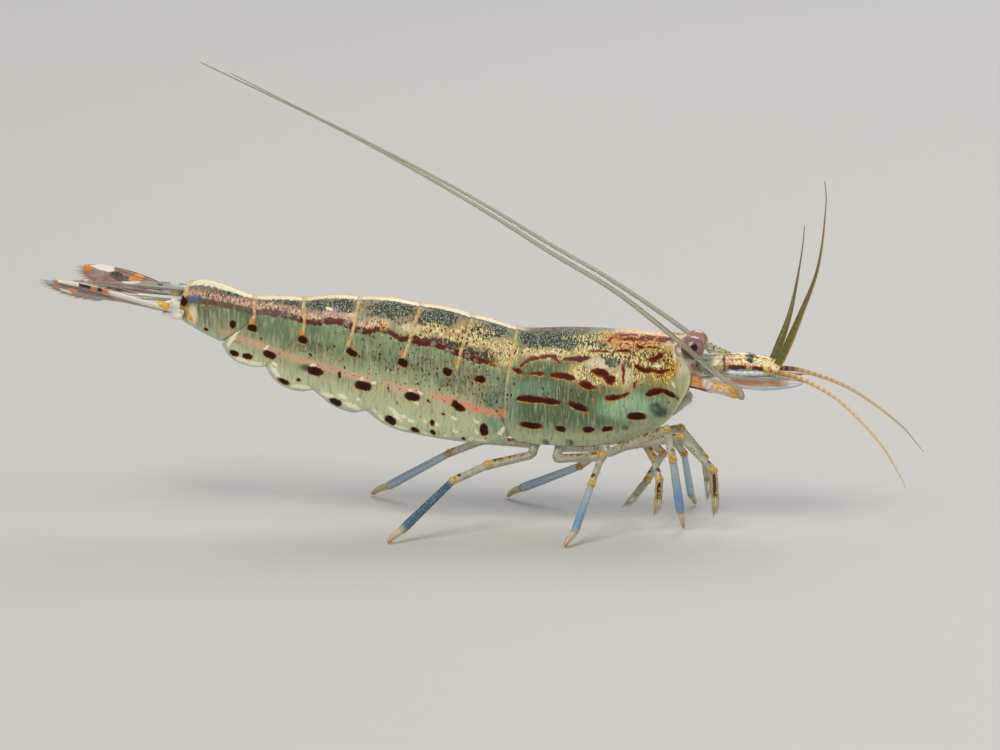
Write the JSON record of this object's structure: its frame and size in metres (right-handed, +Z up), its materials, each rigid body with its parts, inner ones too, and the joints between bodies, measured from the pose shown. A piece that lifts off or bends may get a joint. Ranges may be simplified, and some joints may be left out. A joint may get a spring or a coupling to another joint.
{
  "type": "amano shrimp",
  "caption": "Life-size still model of a freshwater shrimp standing at rest, tail held out level, with long swept-back feelers.",
  "frame": {"origin": "on the floor, under the middle of the animal's bounding box", "axes": "+X from tail to head, +Y to the animal's left, +Z up"},
  "size_m": [0.0612, 0.0226, 0.0329],
  "materials": {
    "shell": "translucent sage-green shell with dark red dashes and gold specks, wet gloss",
    "flesh": "soft, translucent, pinkish cream",
    "eye": "glossy dark maroon, finely faceted",
    "limb": "clear bluish with gold joints, wet gloss",
    "feeler": "cream to pale olive, finely ringed",
    "fan": "thin translucent brownish pink with gold edges"
  },
  "bodies": {
    "root": {"carapace": "shell", "rostrum": "shell", "head": "flesh", "pleon_1": "shell", "pleon_2": "shell", "pleon_3": "shell", "pleon_4": "shell", "pleon_5": "shell", "pleon_6": "shell", "telson": "fan", "uropod_outer_right": "fan", "uropod_inner_right": "fan", "eye_right": "eye", "eyestalk_right": "flesh", "antennule_right": "shell", "antennule_outer_right": "feeler", "antennule_inner_right": "feeler", "antenna_base_right": "shell", "antenna_scale_right": "fan", "antenna_right": "feeler", "maxilliped_right": "limb", "leg_1_right": "limb", "leg_2_right": "limb", "leg_3_right": "limb", "leg_4_right": "limb", "leg_5_right": "limb", "swimmeret_1_right": "fan", "swimmeret_2_right": "fan", "swimmeret_3_right": "fan", "swimmeret_4_right": "fan", "swimmeret_5_right": "fan", "uropod_outer_left": "fan", "uropod_inner_left": "fan", "eye_left": "eye", "eyestalk_left": "flesh", "antennule_left": "shell", "antennule_outer_left": "feeler", "antennule_inner_left": "feeler", "antenna_base_left": "shell", "antenna_scale_left": "fan", "antenna_left": "feeler", "maxilliped_left": "limb", "leg_1_left": "limb", "leg_2_left": "limb", "leg_3_left": "limb", "leg_4_left": "limb", "leg_5_left": "limb", "swimmeret_1_left": "fan", "swimmeret_2_left": "fan", "swimmeret_3_left": "fan", "swimmeret_4_left": "fan", "swimmeret_5_left": "fan"}
  },
  "joints": []
}
